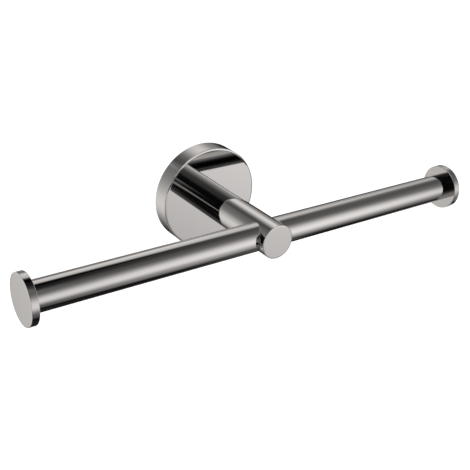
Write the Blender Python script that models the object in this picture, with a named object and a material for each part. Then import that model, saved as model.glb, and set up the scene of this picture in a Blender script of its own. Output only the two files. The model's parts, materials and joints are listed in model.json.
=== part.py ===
# Double toilet roll holder, wall mounted, in metres.
# The wall is the plane y = 0 and the holder stands out from it towards -Y.
# The two roll arms run along X, and +Z is up.

import math

import bmesh
import bpy

MM = 0.001

# Clearances that all pieces share
GAP = 0.3 * MM
CUT_OVERRUN = 2.0 * MM
MERGE_DISTANCE = 0.003 * MM

# Rosette, the round cover against the wall
ROSETTE_DIAMETER = 60.0 * MM
ROSETTE_DEPTH = 10.8 * MM
ROSETTE_RIM_WALL = 2.5 * MM
ROSETTE_FACE_WALL = 2.0 * MM
ROSETTE_EDGE_RADIUS = 1.5 * MM

# Wall plate, the bracket behind the rosette
PLATE_THICKNESS = 2.0 * MM
PLATE_BOSS_INSET = 4.5 * MM
PLATE_BOSS_WALL = 3.5 * MM
PLATE_BOSS_CLEARANCE = 1.2 * MM
PLATE_SLOT_INSET = 5.0 * MM
PLATE_SLOT_WIDTH = 4.8 * MM
PLATE_SLOT_LENGTH = 8.0 * MM

# Set screw in the rosette's rim
SET_SCREW_DIAMETER = 5.0 * MM
SET_SCREW_INSET = 0.7 * MM
SET_SCREW_SIDE_CLEARANCE = 0.4 * MM
SET_SCREW_SOCKET_FLATS = 2.5 * MM
SET_SCREW_SOCKET_DEPTH = 2.5 * MM
SET_SCREW_CHAMFER = 0.5 * MM

# Post
POST_DIAMETER = 19.0 * MM
POST_PROUD = 3.4 * MM
POST_EDGE_CHAMFER = 0.5 * MM

# Bolt, washer and pin that hold the post on the rosette
POST_BOLT_DIAMETER = 8.0 * MM
POST_BOLT_LENGTH = 20.0 * MM
POST_BOLT_HEAD_DIAMETER = 14.0 * MM
POST_BOLT_HEAD_CLEARANCE = 0.6 * MM
POST_BOLT_CROWN_SHARE = 0.55
POST_BOLT_SOCKET_FLATS = 5.0 * MM
POST_BOLT_SOCKET_DEPTH = 2.6 * MM
POST_BOLT_CHAMFER = 0.8 * MM
POST_BOLT_TIP_ROOM = 1.5 * MM
POST_WASHER_DIAMETER = 16.0 * MM
POST_WASHER_THICKNESS = 1.2 * MM
PIN_DIAMETER = 2.5 * MM
PIN_LENGTH = 6.0 * MM
PIN_CHAMFER = 0.3 * MM

# Roll arms
ARM_STANDOFF = 64.8 * MM
ARM_DIAMETER = 15.7 * MM
ARM_WALL = 1.4 * MM
HOLDER_WIDTH = 272.0 * MM

# Inner plug, bolt and washer that hold each arm on the post
INNER_PLUG_LENGTH = 14.5 * MM
ARM_BOLT_HOLE_SHARE = 0.537
ARM_BOLT_TIP_OFFSET = 0.8 * MM
ARM_BOLT_HEAD_CLEARANCE = 1.45 * MM
ARM_BOLT_HEAD_HEIGHT = 6.0 * MM
ARM_BOLT_SOCKET_FLATS = 5.0 * MM
ARM_BOLT_SOCKET_DEPTH = 3.0 * MM
ARM_BOLT_CHAMFER = 0.6 * MM
ARM_WASHER_CLEARANCE = 0.5 * MM
ARM_WASHER_THICKNESS = 1.2 * MM

# End disc, stud and outer plug that close each arm
DISC_DIAMETER = 26.0 * MM
DISC_THICKNESS = 3.9 * MM
DISC_EDGE_CHAMFER = 0.35 * MM
DISC_SPIGOT_LENGTH = 4.0 * MM
DISC_FLOOR = 1.4 * MM
OUTER_PLUG_LENGTH = 12.0 * MM
STUD_HOLE_SHARE = 0.7
STUD_LENGTH = 18.0 * MM
STUD_CHAMFER = 0.8 * MM
STUD_SOCKET_FLATS = 4.0 * MM
STUD_SOCKET_DEPTH = 4.0 * MM

# Facets around a turned piece
LARGE_STEPS = 96
MEDIUM_STEPS = 64
SMALL_STEPS = 32
ROUNDING_STEPS = 5
HEXAGON_SIDES = 6
SHARP_ANGLE = math.radians(25.0)

# Worked out for the rosette and the wall plate
ROSETTE_RADIUS = ROSETTE_DIAMETER / 2
CAVITY_RADIUS = ROSETTE_RADIUS - ROSETTE_RIM_WALL
CAVITY_DEPTH = ROSETTE_DEPTH - ROSETTE_FACE_WALL
PLATE_RADIUS = CAVITY_RADIUS - GAP
BOSS_RADIUS = CAVITY_RADIUS - PLATE_BOSS_INSET
BOSS_INNER_RADIUS = BOSS_RADIUS - PLATE_BOSS_WALL
SLOT_OFFSET = BOSS_INNER_RADIUS - PLATE_SLOT_INSET
BOSS_HEIGHT = CAVITY_DEPTH - PLATE_BOSS_CLEARANCE
SET_SCREW_RADIUS = SET_SCREW_DIAMETER / 2
SET_SCREW_STANDOFF = PLATE_THICKNESS + SET_SCREW_SIDE_CLEARANCE + GAP + SET_SCREW_RADIUS
SET_SCREW_TIP = BOSS_RADIUS + GAP
SET_SCREW_END = ROSETTE_RADIUS - SET_SCREW_INSET

# Worked out for the post and its fastening
POST_RADIUS = POST_DIAMETER / 2
POST_BASE = ROSETTE_DEPTH + GAP
POST_FRONT = ARM_STANDOFF + ARM_DIAMETER / 2 + POST_PROUD
POST_HOLE_RADIUS = POST_BOLT_DIAMETER / 2 + GAP
WASHER_FRONT = CAVITY_DEPTH - GAP
WASHER_BACK = WASHER_FRONT - POST_WASHER_THICKNESS
POST_BOLT_SEAT = WASHER_BACK - GAP
POST_BOLT_TOP = PLATE_THICKNESS + POST_BOLT_HEAD_CLEARANCE
POST_BOLT_CROWN = (POST_BOLT_SEAT - POST_BOLT_TOP) * POST_BOLT_CROWN_SHARE
POST_BOLT_TIP = POST_BOLT_SEAT + POST_BOLT_LENGTH
PIN_OFFSET = (POST_HOLE_RADIUS + POST_RADIUS) / 2
PIN_BACK = CAVITY_DEPTH + GAP
PIN_HOLE_RADIUS = PIN_DIAMETER / 2 + GAP

# Worked out for the arms, as distances from the post's axis
ARM_RADIUS = ARM_DIAMETER / 2
BORE_RADIUS = ARM_RADIUS - ARM_WALL
PLUG_RADIUS = BORE_RADIUS - GAP
HALF_WIDTH = HOLDER_WIDTH / 2
DISC_BACK = HALF_WIDTH - DISC_THICKNESS
ARM_END = DISC_BACK - GAP
INNER_PLUG_END = POST_RADIUS + INNER_PLUG_LENGTH
ARM_WASHER_BACK = INNER_PLUG_END + GAP
ARM_WASHER_FRONT = ARM_WASHER_BACK + ARM_WASHER_THICKNESS
ARM_BOLT_SEAT = ARM_WASHER_FRONT + GAP
ARM_BOLT_TOP = ARM_BOLT_SEAT + ARM_BOLT_HEAD_HEIGHT
ARM_BOLT_HOLE_RADIUS = PLUG_RADIUS * ARM_BOLT_HOLE_SHARE
ARM_BOLT_RADIUS = ARM_BOLT_HOLE_RADIUS - GAP
SPIGOT_BACK = DISC_BACK - DISC_SPIGOT_LENGTH
OUTER_PLUG_FRONT = SPIGOT_BACK - GAP
STUD_HOLE_RADIUS = PLUG_RADIUS * STUD_HOLE_SHARE
STUD_RADIUS = STUD_HOLE_RADIUS - GAP
STUD_HOLE_BOTTOM = HALF_WIDTH - DISC_FLOOR
STUD_FRONT = STUD_HOLE_BOTTOM - GAP
STUD_BACK = STUD_FRONT - STUD_LENGTH

# Directions in which a turned piece's own +Z may point
OUT_FROM_WALL = (math.pi / 2, 0.0, 0.0)
TO_THE_RIGHT = (0.0, math.pi / 2, 0.0)
TO_THE_LEFT = (0.0, -math.pi / 2, 0.0)
DOWNWARD = (math.pi, 0.0, 0.0)
AS_MODELLED = (0.0, 0.0, 0.0)
ORIGIN = (0.0, 0.0, 0.0)

# Finishes: colour, roughness and metallic value
CHROME = ((0.86, 0.86, 0.87), 0.04, 1.0)
ZINC = ((0.62, 0.63, 0.65), 0.38, 1.0)
BRASS = ((0.78, 0.60, 0.30), 0.28, 1.0)
STEEL = ((0.52, 0.53, 0.55), 0.32, 1.0)


def clearScene():
    for item in list(bpy.data.objects):
        bpy.data.objects.remove(item, do_unlink=True)


def addMaterial(name, finish):
    colour, roughness, metallic = finish
    material = bpy.data.materials.new(name + "_finish")
    material.use_nodes = True
    shader = material.node_tree.nodes["Principled BSDF"]
    shader.inputs["Base Color"].default_value = (*colour, 1.0)
    shader.inputs["Roughness"].default_value = roughness
    shader.inputs["Metallic"].default_value = metallic
    return material


def addFrame(name, location, rotation, parent=None):
    frame = bpy.data.objects.new(name, None)
    frame.location = location
    frame.rotation_euler = rotation
    frame.parent = parent
    bpy.context.collection.objects.link(frame)
    return frame


def arcPoints(centreRadius, centreHeight, radius, start, end):
    # Points of a round corner, from one angle to another, as (radius, height) pairs
    points = []
    for step in range(ROUNDING_STEPS + 1):
        angle = math.radians(start + (end - start) * step / ROUNDING_STEPS)
        across = centreRadius + radius * math.cos(angle)
        points.append((across, centreHeight + radius * math.sin(angle)))
    return points


def turnMesh(name, outline, steps):
    # Turns a closed outline of (radius, height) points round Z.
    # An edge that lies on the axis isn't drawn, because turning it makes nothing.
    mesh = bpy.data.meshes.new(name)
    shape = bmesh.new()
    corners = [shape.verts.new((radius, 0.0, height)) for radius, height in outline]
    for first, second in zip(corners, corners[1:] + corners[:1]):
        if first.co.x > 0.0 or second.co.x > 0.0:
            shape.edges.new((first, second))
    bmesh.ops.spin(
        shape,
        geom=shape.verts[:] + shape.edges[:],
        cent=ORIGIN,
        axis=(0.0, 0.0, 1.0),
        angle=math.tau,
        steps=steps,
        use_merge=True,
    )
    bmesh.ops.remove_doubles(shape, verts=shape.verts[:], dist=MERGE_DISTANCE)
    bmesh.ops.dissolve_degenerate(shape, edges=shape.edges[:], dist=MERGE_DISTANCE)
    bmesh.ops.recalc_face_normals(shape, faces=shape.faces[:])
    shape.to_mesh(mesh)
    shape.free()
    mesh.shade_smooth()
    mesh.set_sharp_from_angle(angle=SHARP_ANGLE)
    return mesh


def placeMesh(name, mesh, parent, location=ORIGIN, rotation=AS_MODELLED):
    item = bpy.data.objects.new(name, mesh)
    item.location = location
    item.rotation_euler = rotation
    item.parent = parent
    bpy.context.collection.objects.link(item)
    return item


def addPiece(name, outline, steps, finish, parent, location=ORIGIN, rotation=AS_MODELLED):
    mesh = turnMesh(name, outline, steps)
    mesh.materials.append(addMaterial(name, finish))
    return placeMesh(name, mesh, parent, location, rotation)


def asCutter(cutter):
    cutter.hide_render = True
    cutter.display_type = "WIRE"
    return cutter


def addRoundCutter(
    name, radius, start, end, parent, location=ORIGIN, rotation=AS_MODELLED, steps=SMALL_STEPS
):
    outline = [(0.0, start), (radius, start), (radius, end), (0.0, end)]
    mesh = turnMesh(name, outline, steps)
    return asCutter(placeMesh(name, mesh, parent, location, rotation))


def addSocketCutter(name, flats, start, end, parent, location=ORIGIN, rotation=AS_MODELLED):
    # A hexagon's corners lie further out than its flats
    cornerRadius = flats / 2 / math.cos(math.pi / HEXAGON_SIDES)
    outline = [(0.0, start), (cornerRadius, start), (cornerRadius, end), (0.0, end)]
    mesh = turnMesh(name, outline, HEXAGON_SIDES)
    return asCutter(placeMesh(name, mesh, parent, location, rotation))


def addSlotCutter(name, width, length, start, end, parent, location):
    # A slot with round ends: a cylinder's two halves drawn apart along local Y
    outline = [(0.0, start), (width / 2, start), (width / 2, end), (0.0, end)]
    mesh = turnMesh(name, outline, SMALL_STEPS)
    shift = (length - width) / 2
    for corner in mesh.vertices:
        if corner.co.y > MERGE_DISTANCE:
            corner.co.y += shift
        else:
            corner.co.y -= shift
    return asCutter(placeMesh(name, mesh, parent, location))


def cut(item, cutter):
    hole = item.modifiers.new(cutter.name, "BOOLEAN")
    hole.operation = "DIFFERENCE"
    hole.solver = "EXACT"
    hole.object = cutter


def bolt(tip, seat, top, radius, headRadius, chamfer, crown):
    # From the tip up the shank to the head, whose top edge is rounded by the crown
    direction = 1.0 if top > seat else -1.0
    return [
        (0.0, tip),
        (radius - chamfer, tip),
        (radius, tip + direction * chamfer),
        (radius, seat),
        (headRadius, seat),
        (headRadius, top - direction * crown),
        (headRadius - crown, top),
        (0.0, top),
    ]


def rod(start, end, radius, chamfer):
    return [
        (0.0, start),
        (radius - chamfer, start),
        (radius, start + chamfer),
        (radius, end - chamfer),
        (radius - chamfer, end),
        (0.0, end),
    ]


def sleeve(start, end, inner, outer):
    return [(inner, start), (outer, start), (outer, end), (inner, end)]


def buildWallPlate(wallAxis):
    outline = [
        (0.0, 0.0),
        (PLATE_RADIUS, 0.0),
        (PLATE_RADIUS, PLATE_THICKNESS),
        (BOSS_RADIUS, PLATE_THICKNESS),
        (BOSS_RADIUS, BOSS_HEIGHT),
        (BOSS_INNER_RADIUS, BOSS_HEIGHT),
        (BOSS_INNER_RADIUS, PLATE_THICKNESS),
        (0.0, PLATE_THICKNESS),
    ]
    plate = addPiece("wall_plate", outline, MEDIUM_STEPS, ZINC, wallAxis)
    for side, sign in (("left", -1.0), ("right", 1.0)):
        place = (sign * SLOT_OFFSET, 0.0, 0.0)
        slot = addSlotCutter(
            side + "_slot_cutter",
            PLATE_SLOT_WIDTH,
            PLATE_SLOT_LENGTH,
            -CUT_OVERRUN,
            PLATE_THICKNESS + CUT_OVERRUN,
            wallAxis,
            place,
        )
        cut(plate, slot)


def buildRosette(wallAxis, pinHole):
    edgeCentre = ROSETTE_DEPTH - ROSETTE_EDGE_RADIUS
    outline = [
        (CAVITY_RADIUS, 0.0),
        (ROSETTE_RADIUS, 0.0),
        *arcPoints(ROSETTE_RADIUS - ROSETTE_EDGE_RADIUS, edgeCentre, ROSETTE_EDGE_RADIUS, 0.0, 90.0),
        (POST_HOLE_RADIUS, ROSETTE_DEPTH),
        (POST_HOLE_RADIUS, CAVITY_DEPTH),
        (CAVITY_RADIUS, CAVITY_DEPTH),
    ]
    rosette = addPiece("rosette", outline, LARGE_STEPS, CHROME, wallAxis)
    cut(rosette, pinHole)
    screwHole = addRoundCutter(
        "set_screw_hole_cutter",
        SET_SCREW_RADIUS + GAP,
        BOSS_RADIUS,
        ROSETTE_RADIUS + CUT_OVERRUN,
        None,
        (0.0, -SET_SCREW_STANDOFF, 0.0),
        DOWNWARD,
    )
    cut(rosette, screwHole)


def buildSetScrew():
    # The screw's own origin is on its axis, at the height of the rosette's centre
    outline = rod(SET_SCREW_TIP, SET_SCREW_END, SET_SCREW_RADIUS, SET_SCREW_CHAMFER)
    place = (0.0, -SET_SCREW_STANDOFF, 0.0)
    screw = addPiece("set_screw", outline, SMALL_STEPS, STEEL, None, place, DOWNWARD)
    socket = addSocketCutter(
        "set_screw_socket_cutter",
        SET_SCREW_SOCKET_FLATS,
        SET_SCREW_END - SET_SCREW_SOCKET_DEPTH,
        SET_SCREW_END + CUT_OVERRUN,
        None,
        place,
        DOWNWARD,
    )
    cut(screw, socket)


def buildPost(wallAxis, pinHole):
    holeBottom = POST_BOLT_TIP + POST_BOLT_TIP_ROOM
    outline = [
        (0.0, holeBottom),
        (POST_HOLE_RADIUS, holeBottom),
        (POST_HOLE_RADIUS, POST_BASE),
        (POST_RADIUS, POST_BASE),
        (POST_RADIUS, POST_FRONT - POST_EDGE_CHAMFER),
        (POST_RADIUS - POST_EDGE_CHAMFER, POST_FRONT),
        (0.0, POST_FRONT),
    ]
    post = addPiece("post", outline, LARGE_STEPS, CHROME, wallAxis)
    cut(post, pinHole)
    crossHole = addRoundCutter(
        "arm_bolt_hole_cutter",
        ARM_BOLT_HOLE_RADIUS,
        -POST_RADIUS - CUT_OVERRUN,
        POST_RADIUS + CUT_OVERRUN,
        None,
        (0.0, -ARM_STANDOFF, 0.0),
        TO_THE_RIGHT,
    )
    cut(post, crossHole)


def buildPostFastening(wallAxis):
    outline = bolt(
        POST_BOLT_TIP,
        POST_BOLT_SEAT,
        POST_BOLT_TOP,
        POST_BOLT_DIAMETER / 2,
        POST_BOLT_HEAD_DIAMETER / 2,
        POST_BOLT_CHAMFER,
        POST_BOLT_CROWN,
    )
    postBolt = addPiece("post_bolt", outline, SMALL_STEPS, STEEL, wallAxis)
    socket = addSocketCutter(
        "post_bolt_socket_cutter",
        POST_BOLT_SOCKET_FLATS,
        POST_BOLT_TOP - CUT_OVERRUN,
        POST_BOLT_TOP + POST_BOLT_SOCKET_DEPTH,
        wallAxis,
    )
    cut(postBolt, socket)
    washer = sleeve(WASHER_BACK, WASHER_FRONT, POST_HOLE_RADIUS, POST_WASHER_DIAMETER / 2)
    addPiece("post_bolt_washer", washer, SMALL_STEPS, STEEL, wallAxis)
    pin = rod(PIN_BACK, PIN_BACK + PIN_LENGTH, PIN_DIAMETER / 2, PIN_CHAMFER)
    addPiece("locating_pin", pin, SMALL_STEPS, STEEL, wallAxis, (0.0, PIN_OFFSET, 0.0))


def buildArm(side, armAxis, cope):
    # All heights here run outward from the post's axis
    outline = sleeve(GAP, ARM_END, BORE_RADIUS, ARM_RADIUS)
    tube = addPiece(side + "_arm", outline, MEDIUM_STEPS, CHROME, armAxis)
    cut(tube, cope)
    innerPlug = addPiece(
        side + "_inner_plug",
        sleeve(GAP, INNER_PLUG_END, ARM_BOLT_HOLE_RADIUS, PLUG_RADIUS),
        SMALL_STEPS,
        BRASS,
        armAxis,
    )
    cut(innerPlug, cope)
    addPiece(
        side + "_arm_washer",
        sleeve(ARM_WASHER_BACK, ARM_WASHER_FRONT, ARM_BOLT_HOLE_RADIUS, BORE_RADIUS - ARM_WASHER_CLEARANCE),
        SMALL_STEPS,
        STEEL,
        armAxis,
    )
    outline = bolt(
        ARM_BOLT_TIP_OFFSET,
        ARM_BOLT_SEAT,
        ARM_BOLT_TOP,
        ARM_BOLT_RADIUS,
        BORE_RADIUS - ARM_BOLT_HEAD_CLEARANCE,
        ARM_BOLT_CHAMFER,
        ARM_BOLT_CHAMFER,
    )
    armBolt = addPiece(side + "_arm_bolt", outline, SMALL_STEPS, STEEL, armAxis)
    socket = addSocketCutter(
        side + "_arm_bolt_socket_cutter",
        ARM_BOLT_SOCKET_FLATS,
        ARM_BOLT_TOP - ARM_BOLT_SOCKET_DEPTH,
        ARM_BOLT_TOP + CUT_OVERRUN,
        armAxis,
    )
    cut(armBolt, socket)


def buildArmEnd(side, armAxis):
    addPiece(
        side + "_outer_plug",
        sleeve(OUTER_PLUG_FRONT - OUTER_PLUG_LENGTH, OUTER_PLUG_FRONT, STUD_HOLE_RADIUS, PLUG_RADIUS),
        SMALL_STEPS,
        BRASS,
        armAxis,
    )
    stud = addPiece(
        side + "_end_stud",
        rod(STUD_BACK, STUD_FRONT, STUD_RADIUS, STUD_CHAMFER),
        SMALL_STEPS,
        STEEL,
        armAxis,
    )
    socket = addSocketCutter(
        side + "_end_stud_socket_cutter",
        STUD_SOCKET_FLATS,
        STUD_BACK - CUT_OVERRUN,
        STUD_BACK + STUD_SOCKET_DEPTH,
        armAxis,
    )
    cut(stud, socket)
    radius = DISC_DIAMETER / 2
    disc = [
        (0.0, STUD_HOLE_BOTTOM),
        (STUD_HOLE_RADIUS, STUD_HOLE_BOTTOM),
        (STUD_HOLE_RADIUS, SPIGOT_BACK),
        (PLUG_RADIUS, SPIGOT_BACK),
        (PLUG_RADIUS, DISC_BACK),
        (radius - DISC_EDGE_CHAMFER, DISC_BACK),
        (radius, DISC_BACK + DISC_EDGE_CHAMFER),
        (radius, HALF_WIDTH - DISC_EDGE_CHAMFER),
        (radius - DISC_EDGE_CHAMFER, HALF_WIDTH),
        (0.0, HALF_WIDTH),
    ]
    addPiece(side + "_end_disc", disc, MEDIUM_STEPS, CHROME, armAxis)


def buildHolder():
    clearScene()
    wallAxis = addFrame("wall_axis", ORIGIN, OUT_FROM_WALL)
    pinHole = addRoundCutter(
        "locating_pin_hole_cutter",
        PIN_HOLE_RADIUS,
        CAVITY_DEPTH - CUT_OVERRUN,
        PIN_BACK + PIN_LENGTH + GAP,
        wallAxis,
        (0.0, PIN_OFFSET, 0.0),
    )
    buildWallPlate(wallAxis)
    buildRosette(wallAxis, pinHole)
    buildSetScrew()
    buildPost(wallAxis, pinHole)
    buildPostFastening(wallAxis)
    cope = addRoundCutter(
        "arm_cope_cutter",
        POST_RADIUS + GAP,
        ARM_STANDOFF - ARM_RADIUS - CUT_OVERRUN,
        ARM_STANDOFF + ARM_RADIUS + CUT_OVERRUN,
        wallAxis,
        steps=LARGE_STEPS,
    )
    for side, direction in (("left", TO_THE_LEFT), ("right", TO_THE_RIGHT)):
        armAxis = addFrame(side + "_arm_axis", (0.0, -ARM_STANDOFF, 0.0), direction)
        buildArm(side, armAxis, cope)
        buildArmEnd(side, armAxis)


buildHolder()
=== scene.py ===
import json
import math

import bmesh
import bpy
from mathutils import Matrix, Vector

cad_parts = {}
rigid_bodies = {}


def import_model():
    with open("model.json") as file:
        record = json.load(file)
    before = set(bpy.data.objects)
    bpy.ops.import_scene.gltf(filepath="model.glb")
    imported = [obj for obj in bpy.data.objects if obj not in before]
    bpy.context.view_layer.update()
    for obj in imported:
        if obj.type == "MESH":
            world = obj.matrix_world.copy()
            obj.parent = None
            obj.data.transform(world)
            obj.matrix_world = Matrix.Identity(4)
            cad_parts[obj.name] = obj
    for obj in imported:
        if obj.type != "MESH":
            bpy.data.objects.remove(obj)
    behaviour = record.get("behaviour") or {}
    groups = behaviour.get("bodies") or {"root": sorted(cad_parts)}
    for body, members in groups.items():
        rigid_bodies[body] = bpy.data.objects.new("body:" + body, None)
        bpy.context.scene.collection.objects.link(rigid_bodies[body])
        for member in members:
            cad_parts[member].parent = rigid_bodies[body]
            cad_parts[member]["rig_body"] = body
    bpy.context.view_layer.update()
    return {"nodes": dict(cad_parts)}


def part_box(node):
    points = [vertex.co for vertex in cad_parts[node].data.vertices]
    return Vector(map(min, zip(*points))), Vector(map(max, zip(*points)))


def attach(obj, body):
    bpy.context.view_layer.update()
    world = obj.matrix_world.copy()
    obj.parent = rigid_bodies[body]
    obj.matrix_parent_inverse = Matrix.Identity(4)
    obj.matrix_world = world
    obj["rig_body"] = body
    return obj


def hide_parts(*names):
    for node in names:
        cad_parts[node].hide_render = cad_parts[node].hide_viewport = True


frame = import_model()
print("frame loaded")

mm = 0.001
weld = 0.002 * mm  # corners closer than this become one
hair = 0.0002 * mm  # corners this close to a cutting plane lie on it
near = 0.01 * mm  # how far a corner may lie from the ring it belongs to
outFromWall = Vector((0.0, -1.0, 0.0))
upward = Vector((0.0, 0.0, 1.0))
outward = {"left": Vector((-1.0, 0.0, 0.0)), "right": Vector((1.0, 0.0, 0.0))}


class Wire:
    # One output socket; sums, products and powers of wires become Math nodes
    def __init__(self, tree, socket):
        self.tree = tree
        self.socket = socket

    def maths(self, operation, *values):
        inputs = dict(enumerate((self, *values)))
        return self.tree.node("ShaderNodeMath", {"operation": operation}, inputs)

    def __add__(self, other):
        return self.maths("ADD", other)

    def __radd__(self, other):
        return self.maths("ADD", other)

    def __sub__(self, other):
        return self.maths("SUBTRACT", other)

    def __rsub__(self, other):
        return (self * -1.0).maths("ADD", other)

    def __mul__(self, other):
        return self.maths("MULTIPLY", other)

    def __rmul__(self, other):
        return self.maths("MULTIPLY", other)

    def __truediv__(self, other):
        return self.maths("DIVIDE", other)

    def __pow__(self, other):
        return self.maths("POWER", other)

    def __neg__(self):
        return self * -1.0

    def __abs__(self):
        return self.maths("ABSOLUTE")


class ShaderTree:
    # The nodes of a material or of the world
    def __init__(self, owner):
        owner.use_nodes = True
        self.nodes = owner.node_tree.nodes
        self.links = owner.node_tree.links
        self.nodes.clear()

    def node(self, kind, settings=None, inputs=None, output=0):
        made = self.nodes.new(kind)
        for name, value in (settings or {}).items():
            setattr(made, name, value)
        for name, value in (inputs or {}).items():
            if isinstance(value, Wire):
                self.links.new(value.socket, made.inputs[name])
            else:
                made.inputs[name].default_value = value
        return Wire(self, made.outputs[output]) if made.outputs else None

    def split(self, vector):
        apart = self.node("ShaderNodeSeparateXYZ", inputs={0: vector}).socket.node
        return [Wire(self, socket) for socket in apart.outputs]

    def vector(self, operation, inputs):
        return self.node("ShaderNodeVectorMath", {"operation": operation}, inputs)

    def blend(self, share, first, second):
        # In colour mode the Mix node's colours are inputs 6 and 7 and output 2
        settings = {"data_type": "RGBA"}
        return self.node("ShaderNodeMix", settings, {0: share, 6: first, 7: second}, 2)

    def noise(self, place, grain, warp=0.0):
        scale, detail = grain
        inputs = {"Vector": place, "Scale": scale, "Detail": detail, "Distortion": warp}
        return self.node("ShaderNodeTexNoise", inputs=inputs)

    def stretch(self, place, scale):
        return self.node("ShaderNodeMapping", inputs={"Vector": place, "Scale": scale})

    def bump(self, height, strength, distance):
        inputs = {"Height": height, "Strength": strength, "Distance": distance}
        return self.node("ShaderNodeBump", inputs=inputs)


# The light round the holder: a pale tent, black cards that darken it and soft windows that light
# it. Angles are in degrees. Azimuth 0 is behind the wall and 90 is to its right, spread is a half
# width, rise and drop are half heights, and the hard values say how sharply the edges fall off.
cards = {
    "slit": {
        "azimuth": 36.6, "height": -40.4, "spread": 9.5, "rise": 47.6, "drop": 3.0,
        "hardSide": 14.00, "hardEdge": 10.53, "strength": 0.97,
    },
    "below": {
        "azimuth": 68.2, "height": -62.0, "spread": 119.5, "rise": 15.0, "drop": 90.0,
        "hardSide": 13.99, "hardEdge": 1.73, "strength": 0.99,
    },
    "cameraSide": {
        "azimuth": 230.1, "height": 6.1, "spread": 86.8, "rise": 51.4, "drop": 89.8,
        "hardSide": 10.65, "hardEdge": 14.00, "strength": 0.99,
    },
    "wallBand": {
        "azimuth": 334.7, "height": 39.9, "spread": 120.0, "rise": 8.3, "drop": 56.1,
        "hardSide": 1.69, "hardEdge": 7.47, "strength": 0.88,
    },
    "highSlot": {
        "azimuth": 27.2, "height": 61.7, "spread": 36.0, "rise": 10.5, "drop": 22.3,
        "hardSide": 5.15, "hardEdge": 14.00, "strength": 0.99,
    },
    "floorBand": {
        "azimuth": 56.5, "height": -45.8, "spread": 71.9, "rise": 35.6, "drop": 9.1,
        "hardSide": 5.38, "hardEdge": 14.00, "strength": 0.97,
    },
    "overhead": {
        "azimuth": 103.6, "height": 74.7, "spread": 49.0, "rise": 3.0, "drop": 77.0,
        "hardSide": 14.00, "hardEdge": 1.50, "strength": 0.99,
    },
    "highRight": {
        "azimuth": 56.5, "height": 30.0, "spread": 18.9, "rise": 49.0, "drop": 7.2,
        "hardSide": 14.00, "hardEdge": 14.00, "strength": 0.99,
    },
}
windows = {
    "front": {
        "azimuth": 163.9, "height": -6.7, "spread": 31.8, "rise": 30.7, "drop": 22.9,
        "hardSide": 7.02, "hardEdge": 2.40, "light": (1.023, 0.984, 0.969),
    },
    "highBack": {
        "azimuth": 37.6, "height": 45.5, "spread": 32.2, "rise": 12.4, "drop": 22.7,
        "hardSide": 3.39, "hardEdge": 3.95, "light": (0.881, 0.853, 0.823),
    },
    "backLeft": {
        "azimuth": 328.6, "height": -11.1, "spread": 12.9, "rise": 33.4, "drop": 15.9,
        "hardSide": 14.00, "hardEdge": 1.62, "light": (0.474, 0.469, 0.444),
    },
    "left": {
        "azimuth": 277.6, "height": -13.5, "spread": 41.5, "rise": 26.0, "drop": 30.5,
        "hardSide": 8.17, "hardEdge": 4.87, "light": (0.599, 0.570, 0.546),
    },
    "lowRight": {
        "azimuth": 81.1, "height": -27.0, "spread": 27.6, "rise": 56.5, "drop": 15.5,
        "hardSide": 14.00, "hardEdge": 14.00, "light": (0.516, 0.502, 0.488),
    },
    "behind": {
        "azimuth": 354.4, "height": 24.0, "spread": 18.4, "rise": 5.7, "drop": 46.0,
        "hardSide": 6.99, "hardEdge": 10.86, "light": (0.509, 0.515, 0.514),
    },
    "frontLeft": {
        "azimuth": 200.9, "height": -4.1, "spread": 6.4, "rise": 29.2, "drop": 24.1,
        "hardSide": 12.33, "hardEdge": 12.05, "light": (0.420, 0.413, 0.403),
    },
    "highLeft": {
        "azimuth": 270.1, "height": 28.3, "spread": 31.0, "rise": 3.2, "drop": 20.4,
        "hardSide": 14.00, "hardEdge": 3.89, "light": (0.580, 0.570, 0.555),
    },
    "lowLeft": {
        "azimuth": 254.8, "height": -53.8, "spread": 73.1, "rise": 11.1, "drop": 28.5,
        "hardSide": 14.00, "hardEdge": 5.31, "light": (0.420, 0.413, 0.403),
    },
    "frontGap": {
        "azimuth": 212.0, "height": 3.0, "spread": 5.0, "rise": 12.0, "drop": 12.0,
        "hardSide": 6.00, "hardEdge": 6.00, "light": (0.500, 0.491, 0.480),
    },
    "highLeftTop": {
        "azimuth": 272.0, "height": 35.5, "spread": 20.0, "rise": 3.5, "drop": 4.0,
        "hardSide": 8.00, "hardEdge": 8.00, "light": (0.580, 0.570, 0.557),
    },
    "lowGlint": {
        "azimuth": 223.0, "height": -24.0, "spread": 6.0, "rise": 4.0, "drop": 7.0,
        "hardSide": 8.00, "hardEdge": 8.00, "light": (0.350, 0.344, 0.336),
    },
}
studio = {"tent": (0.862, 0.834, 0.813), "backdrop": (1.0, 1.0, 1.0, 1.0)}
floorLook = {"height": -0.65, "size": 12.0, "colour": (0.82, 0.82, 0.82), "lift": 0.86}
# Yaw, pitch and roll are in radians, lens and sensor in millimetres
cameraView = {
    "place": (-0.25740, -0.39798, 0.20647),
    "yaw": 0.63793, "pitch": 0.42967, "roll": -0.05473,
    "lens": 67.444, "sensor": 36.0, "shift": (-0.03352, -0.05328), "reach": (0.01, 40.0),
}


def fallOff(look, east, north, height):
    # 1 in the middle of a card or window, 0 well outside it
    turn = math.radians(look["azimuth"])
    ahead = east * math.sin(turn) + north * math.cos(turn)
    aside = east * math.cos(turn) - north * math.sin(turn)
    across = abs(aside.maths("ARCTAN2", ahead)) / math.radians(look["spread"])
    offset = height - math.radians(look["height"])
    above = offset.maths("MAXIMUM", 0.0) / math.radians(look["rise"])
    below = (-offset).maths("MAXIMUM", 0.0) / math.radians(look["drop"])
    fall = across ** look["hardSide"] + (above + below) ** look["hardEdge"]
    return (-fall).maths("EXPONENT")


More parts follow.
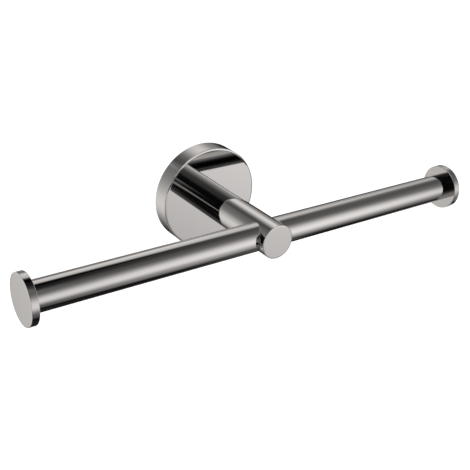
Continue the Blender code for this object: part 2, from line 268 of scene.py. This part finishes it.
def buildWorld():
    world = bpy.data.worlds.new("studio")
    bpy.context.scene.world = world
    tree = ShaderTree(world)
    east, north, up = tree.split(tree.node("ShaderNodeTexCoord"))
    height = up.maths("ARCSINE")
    light = studio["tent"]
    for look in cards.values():
        rest = 1.0 - fallOff(look, east, north, height) * look["strength"]
        light = tree.vector("SCALE", {0: light, "Scale": rest})
    for look in windows.values():
        share = fallOff(look, east, north, height)
        glow = tree.vector("SCALE", {0: look["light"], "Scale": share})
        light = tree.vector("ADD", {0: light, 1: glow})
    shown = tree.blend(tree.node("ShaderNodeLightPath"), light, studio["backdrop"])
    background = tree.node("ShaderNodeBackground", inputs={0: shown, 1: 1.0})
    tree.node("ShaderNodeOutputWorld", inputs={0: background})


def buildFloor():
    shape = bmesh.new()
    bmesh.ops.create_grid(shape, x_segments=1, y_segments=1, size=floorLook["size"])
    bmesh.ops.translate(shape, verts=shape.verts[:], vec=(0.0, 0.0, floorLook["height"]))
    mesh = bpy.data.meshes.new("floor")
    shape.to_mesh(mesh)
    shape.free()
    floor = bpy.data.objects.new("floor", mesh)
    bpy.context.scene.collection.objects.link(floor)
    material = bpy.data.materials.new("paleFloor")
    tree = ShaderTree(material)
    diffuse = tree.node("ShaderNodeBsdfDiffuse", inputs={0: (*floorLook["colour"], 1.0)})
    seen = tree.node("ShaderNodeLightPath") * floorLook["lift"]
    lifted = tree.node("ShaderNodeEmission", inputs={0: studio["backdrop"], 1: seen})
    both = tree.node("ShaderNodeAddShader", inputs={0: diffuse, 1: lifted})
    tree.node("ShaderNodeOutputMaterial", inputs={0: both})
    mesh.materials.append(material)
    floor.visible_glossy = False  # the chrome shows the cards and windows below it instead


def buildCamera():
    yaw, pitch, roll = (cameraView[name] for name in ("yaw", "pitch", "roll"))
    level = Vector((math.cos(yaw), -math.sin(yaw), 0.0))
    forward = Vector((math.sin(yaw), math.cos(yaw), 0.0))
    ahead = forward * math.cos(pitch) - upward * math.sin(pitch)
    down = ahead.cross(level)
    right = level * math.cos(roll) + down * math.sin(roll)
    up = level * math.sin(roll) - down * math.cos(roll)
    turn = Matrix((right, up, -ahead)).transposed().to_4x4()
    data = bpy.data.cameras.new("camera")
    data.sensor_width = cameraView["sensor"]
    data.lens = cameraView["lens"]
    data.shift_x, data.shift_y = cameraView["shift"]
    data.clip_start, data.clip_end = cameraView["reach"]
    camera = bpy.data.objects.new("camera", data)
    camera.matrix_world = Matrix.Translation(cameraView["place"]) @ turn
    bpy.context.scene.collection.objects.link(camera)
    bpy.context.scene.camera = camera


buildWorld()
buildFloor()
buildCamera()
bpy.context.scene.view_settings.view_transform = "Standard"
print("studio ready")


def newMetal(name):
    # The material, its nodes and the piece's own coordinates
    material = bpy.data.materials.new(name)
    tree = ShaderTree(material)
    return material, tree, tree.node("ShaderNodeTexCoord", output=3)


def finishMetal(tree, look, colour, roughness, height):
    surface = tree.node("ShaderNodeBsdfPrincipled", inputs={
        "Base Color": colour,
        "Metallic": 1.0,
        "Roughness": roughness,
        "Normal": tree.bump(height, look["bump"], look["relief"]),
    })
    tree.node("ShaderNodeOutputMaterial", inputs={0: surface})


# Bright chrome plate: a mirror, with faint cloudy haze and the softest polishing ripple.
# Here and below each noise has a scale and a detail, and relief is a height in metres.
chromeLook = {
    "thin": (0.578, 0.573, 0.573, 1.0), "thick": (0.563, 0.559, 0.560, 1.0),
    "cloud": (55.0, 4.0), "wipe": (900.0, 2.0), "wipeStretch": (0.06, 1.0, 1.0),
    "smooth": 0.028, "haze": 0.022, "streak": 0.012,
    "ripple": (90.0, 1.0), "bump": 0.012, "relief": 0.0002,
}


def makeChrome():
    material, tree, place = newMetal("mirrorChrome")
    look = chromeLook
    cloud = tree.noise(place, look["cloud"])
    streak = tree.noise(tree.stretch(place, look["wipeStretch"]), look["wipe"])
    lowest = look["smooth"] - look["haze"] / 2
    roughness = cloud * look["haze"] + streak * look["streak"] + lowest
    colour = tree.blend(cloud, look["thin"], look["thick"])
    finishMetal(tree, look, colour, roughness, tree.noise(place, look["ripple"]))
    return material


# Where no buffing wheel reaches, the chrome is duller and keeps the grain beneath it
innerLook = {
    "bright": (0.46, 0.455, 0.45, 1.0), "dull": (0.34, 0.335, 0.325, 1.0),
    "mottle": (260.0, 5.0), "smooth": 0.26, "spread": 0.22,
    "grain": (2600.0, 3.0), "swell": 0.6, "bump": 0.25, "relief": 0.00008,
}


def makeInnerPlate():
    material, tree, place = newMetal("unpolishedPlate")
    look = innerLook
    mottle = tree.noise(place, look["mottle"])
    colour = tree.blend(mottle, look["dull"], look["bright"])
    grain = tree.noise(place, look["grain"]) + mottle * look["swell"]
    finishMetal(tree, look, colour, mottle * look["spread"] + look["smooth"], grain)
    return material


# Satin zinc skin of the wall plate, with cloudy flow marks and a fine sandy grain
zincLook = {
    "light": (0.56, 0.565, 0.575, 1.0), "dark": (0.36, 0.365, 0.375, 1.0),
    "flow": (120.0, 6.0), "warp": 0.35, "flowStart": 0.25, "flowGain": 2.0,
    "smooth": 0.42, "spread": 0.3, "skin": (3200.0, 3.0), "bump": 0.35, "relief": 0.0001,
    "pit": 1500.0, "pitShare": 0.12, "pitDark": 0.5, "pitRough": 0.1,
}


def makeZinc():
    material, tree, place = newMetal("castZinc")
    look = zincLook
    flow = tree.noise(place, look["flow"], look["warp"])
    cells = tree.node("ShaderNodeTexVoronoi", inputs={"Vector": place, "Scale": look["pit"]})
    pits = cells.maths("LESS_THAN", look["pitShare"])
    share = (flow * (1 - pits * look["pitDark"]) - look["flowStart"]) * look["flowGain"]
    colour = tree.blend(share, look["dark"], look["light"])
    roughness = flow * look["spread"] + look["smooth"] + pits * look["pitRough"]
    finishMetal(tree, look, colour, roughness, tree.noise(place, look["skin"]) - pits)
    return material


# Bright zinc-plated steel of the screws and washers, faintly blue and straw in patches
steelLook = {
    "cool": (0.53, 0.55, 0.58, 1.0), "warm": (0.58, 0.56, 0.52, 1.0), "patch": (700.0, 3.0),
    "smooth": 0.2, "spread": 0.2, "turning": (5200.0, 4.0), "bump": 0.16, "relief": 0.00005,
}


def makeSteel():
    material, tree, place = newMetal("platedSteel")
    look = steelLook
    patch = tree.noise(place, look["patch"])
    turning = tree.noise(place, look["turning"])
    colour = tree.blend(patch, look["cool"], look["warm"])
    finishMetal(tree, look, colour, turning * look["spread"] + look["smooth"], turning)
    return material


# Turned brass of the plugs, with the tool's rings round their axis and a little tarnish
brassLook = {
    "fresh": (0.72, 0.52, 0.24, 1.0), "tarnish": (0.46, 0.31, 0.13, 1.0),
    "patch": (420.0, 5.0), "patchStart": 0.4, "patchGain": 2.5,
    "rings": (2600.0, 2.0), "ringStretch": (1.0, 0.02, 0.02),
    "smooth": 0.22, "spread": 0.2, "bump": 0.3, "relief": 0.00006,
}


def makeBrass():
    material, tree, place = newMetal("turnedBrass")
    look = brassLook
    patch = tree.noise(place, look["patch"])
    rings = tree.noise(tree.stretch(place, look["ringStretch"]), look["rings"])
    share = (patch - look["patchStart"]) * look["patchGain"]
    colour = tree.blend(share, look["fresh"], look["tarnish"])
    finishMetal(tree, look, colour, patch * look["spread"] + look["smooth"], rings)
    return material


chrome = makeChrome()
innerPlate = makeInnerPlate()
zinc = makeZinc()
steel = makeSteel()
brass = makeBrass()
kept = {
    "post_bolt_washer": steel, "locating_pin": steel,
    "left_arm_washer": steel, "right_arm_washer": steel,
    "left_inner_plug": brass, "right_inner_plug": brass,
    "left_outer_plug": brass, "right_outer_plug": brass,
}
for name, finish in kept.items():
    frame["nodes"][name].material_slots[0].material = finish
print("finishes ready")


shading = {"sharpAngle": 35.0, "weight": 100}


def finishPiece(name, shape, node, materials):
    bmesh.ops.remove_doubles(shape, verts=shape.verts[:], dist=weld)
    bmesh.ops.recalc_face_normals(shape, faces=shape.faces[:])
    mesh = bpy.data.meshes.new(name)
    shape.to_mesh(mesh)
    shape.free()
    mesh.shade_smooth()
    mesh.set_sharp_from_angle(angle=math.radians(shading["sharpAngle"]))
    for material in materials:
        mesh.materials.append(material)
    piece = bpy.data.objects.new(name, mesh)
    bpy.context.scene.collection.objects.link(piece)
    even = piece.modifiers.new("evenNormals", "WEIGHTED_NORMAL")
    even.keep_sharp = True
    even.weight = shading["weight"]
    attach(piece, frame["nodes"][node]["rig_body"])
    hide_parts(node)


def turned(outline, steps, closed=True):
    # Spins (radius, height) corners round Z; corners on the axis close into a pole
    shape = bmesh.new()
    spin(shape, outline, steps, closed)
    return shape


def spin(shape, outline, steps, closed):
    corners = [shape.verts.new((radius, 0.0, height)) for radius, height in outline]
    pairs = zip(corners, corners[1:] + corners[:1] if closed else corners[1:])
    edges = [shape.edges.new(pair) for pair in pairs if pair[0].co.x > 0.0 or pair[1].co.x > 0.0]
    bmesh.ops.spin(shape, geom=corners + edges, cent=(0.0, 0.0, 0.0), axis=upward,
                   angle=math.tau, steps=steps, use_merge=True)
    bmesh.ops.remove_doubles(shape, verts=shape.verts[:], dist=weld)
    bmesh.ops.recalc_face_normals(shape, faces=shape.faces[:])


def aim(shape, direction, place=(0.0, 0.0, 0.0)):
    # Turns the piece's own +Z to a direction and moves it into place
    turn = upward.rotation_difference(direction).to_matrix().to_4x4()
    bmesh.ops.transform(shape, matrix=Matrix.Translation(place) @ turn, verts=shape.verts[:])


def onRing(corner, radius, height):
    return abs(math.hypot(*corner.co.xy) - radius) < near and abs(corner.co.z - height) < near


def roundEdges(shape, edges, width, segments):
    bmesh.ops.bevel(shape, geom=edges, offset=width, affect="EDGES", segments=segments,
                    profile=0.5, material=-1, clamp_overlap=True)


def roundRing(shape, radius, height, width, segments):
    # Rounds the ring of edges that lies at one radius and height of a turned piece
    ring = [edge for edge in shape.edges if all(onRing(end, radius, height) for end in edge.verts)]
    roundEdges(shape, ring, width, segments)


def carve(shape, cutter):
    # Cuts one closed form out of another
    solids = []
    for form in (shape, cutter):
        mesh = bpy.data.meshes.new("carving")
        form.to_mesh(mesh)
        form.free()
        solids.append(bpy.data.objects.new("carving", mesh))
        bpy.context.scene.collection.objects.link(solids[-1])
    cut = solids[0].modifiers.new("cut", "BOOLEAN")
    cut.operation = "DIFFERENCE"
    cut.solver = "EXACT"
    cut.object = solids[1]
    carved = bmesh.new()
    carved.from_object(solids[0], bpy.context.evaluated_depsgraph_get())
    for solid in solids:
        bpy.data.meshes.remove(solid.data)
    bmesh.ops.remove_doubles(carved, verts=carved.verts[:], dist=weld)
    bmesh.ops.dissolve_degenerate(carved, edges=carved.edges[:], dist=weld)
    return carved


# Polishing leaves each flat face with a narrow ring at its rim that bows back a little
crownLook = {"radius": 5.0 * mm, "steps": 6}


def crown(width, radius, height):
    rim = []
    for step in range(crownLook["steps"] + 1):
        out = width * step / crownLook["steps"]
        rim.append((radius - width + out, height - out ** 2 / (2 * crownLook["radius"])))
    return rim


rosetteLook = {
    "steps": 384, "crown": 1.3 * mm, "edge": 0.22 * mm, "segments": 4,
    "cavity": 27.5 * mm, "floor": 8.8 * mm, "bore": 4.3 * mm,
    "fillet": 1.2 * mm, "filletSegments": 8,
    "screwHole": 2.6 * mm, "sink": 0.35 * mm, "overrun": 2.0 * mm, "screwSteps": 64,
    "screwStandoff": 5.2 * mm, "screwHoleTop": 26.0 * mm,
}


def buildRosette():
    look = rosetteLook
    low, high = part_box("rosette")
    radius, depth = high.x, -low.y
    rim = crown(look["crown"], radius, depth)
    shape = turned([
        (look["cavity"], 0.0), (radius, 0.0), *reversed(rim), (look["bore"], depth),
        (look["bore"], look["floor"]), (look["cavity"], look["floor"]),
    ], look["steps"])
    for ring in (rim[-1], (radius, 0.0), (look["cavity"], 0.0)):
        roundRing(shape, *ring, look["edge"], look["segments"])
    roundRing(shape, look["cavity"], look["floor"], look["fillet"], look["filletSegments"])
    aim(shape, outFromWall)
    mouth = radius + look["overrun"]
    hole, sink = look["screwHole"], look["sink"]
    drill = turned([
        (0.0, look["screwHoleTop"]), (hole, look["screwHoleTop"]), (hole, radius - sink),
        (hole + sink + look["overrun"], mouth), (0.0, mouth),
    ], look["screwSteps"])
    aim(drill, -upward, outFromWall * look["screwStandoff"])
    shape = carve(shape, drill)
    for face in shape.faces:
        centre = face.calc_center_median()
        shallow = -centre.y < look["floor"] + near
        inside = shallow and math.hypot(centre.x, centre.z) < look["cavity"] + near
        face.material_index = 1 if inside else 0
    finishPiece("rosette_shell", shape, "rosette", [chrome, innerPlate])


postLook = {"steps": 192, "crown": 0.9 * mm, "edge": 0.2 * mm, "segments": 4}


def buildPost():
    look = postLook
    low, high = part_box("post")
    radius, front = high.x, -low.y
    base = -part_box("rosette")[0].y
    rim = crown(look["crown"], radius, front)
    shape = turned([(0.0, base), (radius, base), *reversed(rim), (0.0, front)], look["steps"])
    roundRing(shape, *rim[-1], look["edge"], look["segments"])
    aim(shape, outFromWall)
    finishPiece("post_shaft", shape, "post", [chrome])


armLook = {"steps": 160, "edge": 0.6 * mm, "segments": 5, "wall": 1.4 * mm, "reach": 0.29 * mm}


def buildArm(side):
    look = armLook
    low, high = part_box(side + "_arm")
    axis = (low.y + high.y) / 2
    radius = (high.y - low.y) / 2
    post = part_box("post")[1].x
    far = max(abs(low.x), abs(high.x)) + look["reach"]
    inner = radius - look["wall"]
    shape = turned([(inner, 0.0), (radius, 0.0), (radius, far), (inner, far)], look["steps"])
    aim(shape, outward[side], (0.0, axis, 0.0))
    for corner in shape.verts:
        if abs(corner.co.x) < near:
            corner.co.x = outward[side].x * math.sqrt(post ** 2 - corner.co.z ** 2)

    def onMouth(corner):
        away = math.hypot(corner.co.y - axis, corner.co.z)
        return abs(math.hypot(corner.co.x, corner.co.z) - post) < near and away > radius - near

    mouth = [edge for edge in shape.edges if all(onMouth(end) for end in edge.verts)]
    roundEdges(shape, mouth, look["edge"], look["segments"])
    for face in shape.faces:
        centre = face.calc_center_median()
        face.material_index = 1 if math.hypot(centre.y - axis, centre.z) < inner + near else 0
    finishPiece(side + "_arm_tube", shape, side + "_arm", [chrome, innerPlate])


discLook = {
    "steps": 192, "crown": 0.9 * mm, "edge": 0.2 * mm, "backEdge": 0.35 * mm, "segments": 4,
    "thickness": 3.9 * mm, "spigot": 6.15 * mm, "spigotEdge": 0.4 * mm,
    "hole": 4.3 * mm, "floor": 1.4 * mm,
}


def buildEndDisc(side):
    look = discLook
    low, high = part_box(side + "_end_disc")
    axis = (low.y + high.y) / 2
    radius = (high.y - low.y) / 2
    front = max(abs(low.x), abs(high.x))
    root = min(abs(low.x), abs(high.x))
    back = front - look["thickness"]
    rim = crown(look["crown"], radius, front)
    spigot, hole, floor = look["spigot"], look["hole"], front - look["floor"]
    shape = turned([
        (0.0, floor), (hole, floor), (hole, root), (spigot, root), (spigot, back), (radius, back),
        *reversed(rim), (0.0, front),
    ], look["steps"])
    roundRing(shape, *rim[-1], look["edge"], look["segments"])
    roundRing(shape, radius, back, look["backEdge"], look["segments"])
    roundRing(shape, look["spigot"], root, look["spigotEdge"], look["segments"])
    aim(shape, outward[side], (0.0, axis, 0.0))
    finishPiece(side + "_end_cap", shape, side + "_end_disc", [chrome])


plateLook = {
    "steps": 192, "thickness": 2.0 * mm, "boss": 23.0 * mm, "bossInner": 19.5 * mm,
    "edge": 0.35 * mm, "fillet": 0.8 * mm, "segments": 3,
    "slotOffset": 14.5 * mm, "slotWidth": 4.8 * mm, "slotLength": 8.0 * mm, "slotEdge": 0.3 * mm,
    "slotOverrun": 0.5 * mm, "slotSteps": 48,
}


def slotCutter(look, side):
    # A round cutter that flares at both ends, drawn apart into a slot
    half, flare = look["slotWidth"] / 2, look["slotEdge"]
    over, thickness = look["slotOverrun"], look["thickness"]
    wide = half + flare + over
    cutter = turned([
        (0.0, -over), (wide, -over), (half, flare), (half, thickness - flare),
        (wide, thickness + over), (0.0, thickness + over),
    ], look["slotSteps"])
    halfStep = Matrix.Rotation(math.pi / look["slotSteps"], 4, "Z")
    bmesh.ops.transform(cutter, matrix=halfStep, verts=cutter.verts[:])
    draw = (look["slotLength"] - look["slotWidth"]) / 2
    for corner in cutter.verts:
        if corner.co.xy.length > near:
            corner.co.y += math.copysign(draw, corner.co.y)
    aim(cutter, outFromWall, outward[side] * look["slotOffset"])
    return cutter


def buildWallPlate():
    look = plateLook
    low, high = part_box("wall_plate")
    radius, top, thickness = high.x, -low.y, look["thickness"]
    boss, inner = look["boss"], look["bossInner"]
    shape = turned([
        (0.0, 0.0), (radius, 0.0), (radius, thickness), (boss, thickness), (boss, top),
        (inner, top), (inner, thickness), (0.0, thickness),
    ], look["steps"])
    for ring in ((radius, 0.0), (radius, thickness), (boss, top), (inner, top)):
        roundRing(shape, *ring, look["edge"], look["segments"])
    for ring in ((boss, thickness), (inner, thickness)):
        roundRing(shape, *ring, look["fillet"], look["segments"])
    aim(shape, outFromWall)
    for side in outward:
        shape = carve(shape, slotCutter(look, side))
    finishPiece("wall_plate_casting", shape, "wall_plate", [zinc])


# Thread sizes are the usual coarse ones. A screw's own height 0 is under its head, or at its
# socket if it has no head.
screwLooks = {
    "set_screw": {
        "radius": 2.5 * mm, "length": 6.0 * mm, "pitch": 0.8 * mm,
        "flats": 2.5 * mm, "socket": 2.5 * mm,
    },
    "post_bolt": {
        "radius": 4.0 * mm, "length": 20.0 * mm, "pitch": 1.25 * mm,
        "head": 7.0 * mm, "height": 4.4 * mm, "dome": 2.4 * mm,
        "flats": 5.0 * mm, "socket": 2.6 * mm,
    },
    "arm_bolt": {
        "radius": 3.0 * mm, "length": 25.0 * mm, "pitch": 1.0 * mm,
        "head": 5.0 * mm, "height": 6.0 * mm, "dome": 0.6 * mm,
        "flats": 5.0 * mm, "socket": 3.0 * mm,
    },
    "end_stud": {
        "radius": 4.0 * mm, "length": 18.0 * mm, "pitch": 1.25 * mm,
        "flats": 4.0 * mm, "socket": 4.0 * mm,
    },
}
# Depth, foot, rise and crest are shares of the pitch, lip is a share of the socket's corner
# radius and bow is in degrees
threadLook = {
    "steps": 48, "depth": 0.58, "foot": 0.12, "rise": 0.5, "crest": 0.62, "point": 0.15 * mm,
    "sink": 0.25 * mm, "headSteps": 96, "bow": 15, "lip": 1.04, "socketSides": 6,
}


def threadOn(shape, look):
    # A spiral ridge that runs past both ends and is cut square there
    cut, pitch, crest = threadLook, look["pitch"], look["radius"]
    root = crest - cut["depth"] * pitch
    profile = ((root, 0.0), (root, cut["foot"]), (crest, cut["rise"]), (crest, cut["crest"]))
    corners = []
    for turn in range(-1, math.ceil(look["length"] / pitch) + 1):
        for radius, share in profile:
            corners.append(shape.verts.new((radius, 0.0, (turn + share) * pitch)))
    corners.append(shape.verts.new((root, 0.0, (turn + 1) * pitch)))
    edges = [shape.edges.new(pair) for pair in zip(corners, corners[1:])]
    bmesh.ops.spin(shape, geom=corners + edges, cent=(0.0, 0.0, 0.0), axis=upward,
                   dvec=(0.0, 0.0, pitch / cut["steps"]), angle=math.tau, steps=cut["steps"])
    bmesh.ops.remove_doubles(shape, verts=shape.verts[:], dist=weld)
    for height, beyond in ((0.0, -upward), (look["length"], upward)):
        whole = shape.verts[:] + shape.edges[:] + shape.faces[:]
        bmesh.ops.bisect_plane(shape, geom=whole, dist=hair, plane_co=upward * height,
                               plane_no=beyond, clear_outer=True)
    return root


def rimAt(shape, height):
    # The open edges at one height
    return [
        edge for edge in shape.edges
        if edge.is_boundary and all(abs(end.co.z - height) < near for end in edge.verts)
    ]


def addRing(shape, sides, radius, height):
    made = bmesh.ops.create_circle(shape, cap_ends=False, segments=sides, radius=radius,
                                   matrix=Matrix.Translation((0.0, 0.0, height)))
    return list({edge for corner in made["verts"] for edge in corner.link_edges})


def buildScrew(name, node, look, direction, place):
    cut = threadLook
    shape = bmesh.new()
    root = threadOn(shape, look)
    # Each open end's height, and which way the screw lies from it
    ends = {look["length"]: -1.0, 0.0: 1.0}
    if "head" in look:
        ends.pop(0.0)
    for end, inwards in ends.items():
        for corner in shape.verts:
            most = root - cut["point"] + (corner.co.z - end) * inwards
            away = corner.co.xy.length
            if away > most > 0.0:
                corner.co.xy *= most / away
    tip = bmesh.ops.edgeloop_fill(shape, edges=rimAt(shape, look["length"]))["faces"]
    bmesh.ops.poke(shape, faces=tip)
    sides, sink = cut["socketSides"], cut["sink"]
    socket = look["flats"] / 2 / math.cos(math.pi / sides)
    top = 0.0
    if "head" in look:
        head, height, dome = look["head"], look["height"], look["dome"]
        outline = [(look["radius"] + sink, 0.0), (head - sink, 0.0), (head, -sink)]
        for angle in map(math.radians, range(0, 91, cut["bow"])):
            across, up = dome * math.cos(angle), dome * math.sin(angle)
            outline.append((head - dome + across, dome - height - up))
        outline.append((socket + sink, -height))
        spin(shape, outline, cut["headSteps"], False)
        top = -height
        bmesh.ops.bridge_loops(shape, edges=rimAt(shape, 0.0))
    edge = rimAt(shape, top)
    ring = addRing(shape, cut["steps"], socket * cut["lip"], top)
    bmesh.ops.bridge_loops(shape, edges=edge + ring)
    mouth = addRing(shape, sides, socket, top + sink)
    bmesh.ops.bridge_loops(shape, edges=ring + mouth)
    bottom = addRing(shape, sides, socket, top + look["socket"])
    bmesh.ops.bridge_loops(shape, edges=mouth + bottom)
    floor = bmesh.ops.edgeloop_fill(shape, edges=bottom)["faces"]
    drilled = bmesh.ops.poke(shape, faces=floor)["verts"]
    bmesh.ops.translate(shape, verts=drilled, vec=upward * sink)
    aim(shape, direction, place)
    finishPiece(name, shape, node, [steel])


def buildScrews():
    low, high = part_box("set_screw")
    place = (0.0, (low.y + high.y) / 2, low.z)
    buildScrew("set_screw_body", "set_screw", screwLooks["set_screw"], upward, place)
    look = screwLooks["post_bolt"]
    place = (0.0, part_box("post_bolt")[1].y - look["height"], 0.0)
    buildScrew("post_bolt_body", "post_bolt", look, outFromWall, place)
    for side, direction in outward.items():
        look = screwLooks["arm_bolt"]
        low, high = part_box(side + "_arm_bolt")
        axis = Vector((0.0, (low.y + high.y) / 2, 0.0))
        place = axis + direction * (max(abs(low.x), abs(high.x)) - look["height"])
        buildScrew(side + "_arm_bolt_body", side + "_arm_bolt", look, -direction, place)
        look = screwLooks["end_stud"]
        low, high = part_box(side + "_end_stud")
        place = axis + direction * min(abs(low.x), abs(high.x))
        buildScrew(side + "_end_stud_body", side + "_end_stud", look, direction, place)


buildRosette()
buildPost()
for side in outward:
    buildArm(side)
    buildEndDisc(side)
print("chrome pieces built")
buildWallPlate()
buildScrews()
print("plate and screws built")
